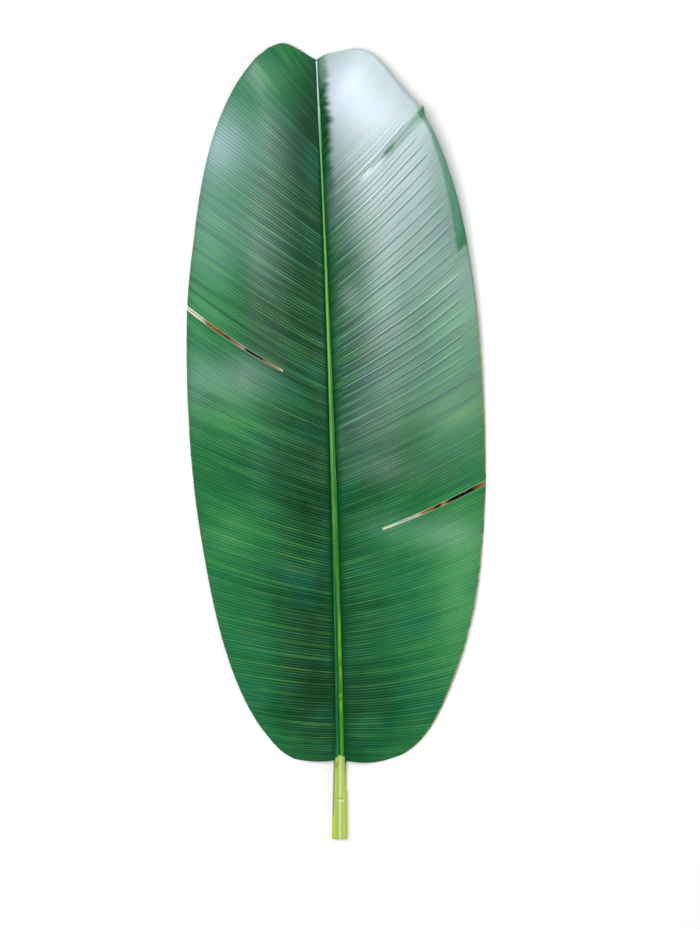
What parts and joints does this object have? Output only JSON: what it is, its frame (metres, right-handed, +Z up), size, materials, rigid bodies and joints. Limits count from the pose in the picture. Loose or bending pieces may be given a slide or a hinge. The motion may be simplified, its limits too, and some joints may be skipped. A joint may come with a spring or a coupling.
{
  "type": "banana leaf",
  "caption": "Whole oval banana leaf with pleated blade, channelled midrib, torn margins and a short cut stalk, lying flat; a natural decoration, plate or backdrop.",
  "frame": {"origin": "middle of the leaf's outline seen from above, at the height of the surface that it lies on", "axes": "+Y from the cut stalk to the tip, +X to the right half of the blade seen from above, +Z up, out of the upper face"},
  "size_m": [0.275, 0.7266, 0.0287],
  "materials": {
    "leaf": "waxy satin green, pale yellow-green veins, midrib and stalk"
  },
  "bodies": {
    "root": {"banana_leaf": "leaf"}
  },
  "joints": []
}
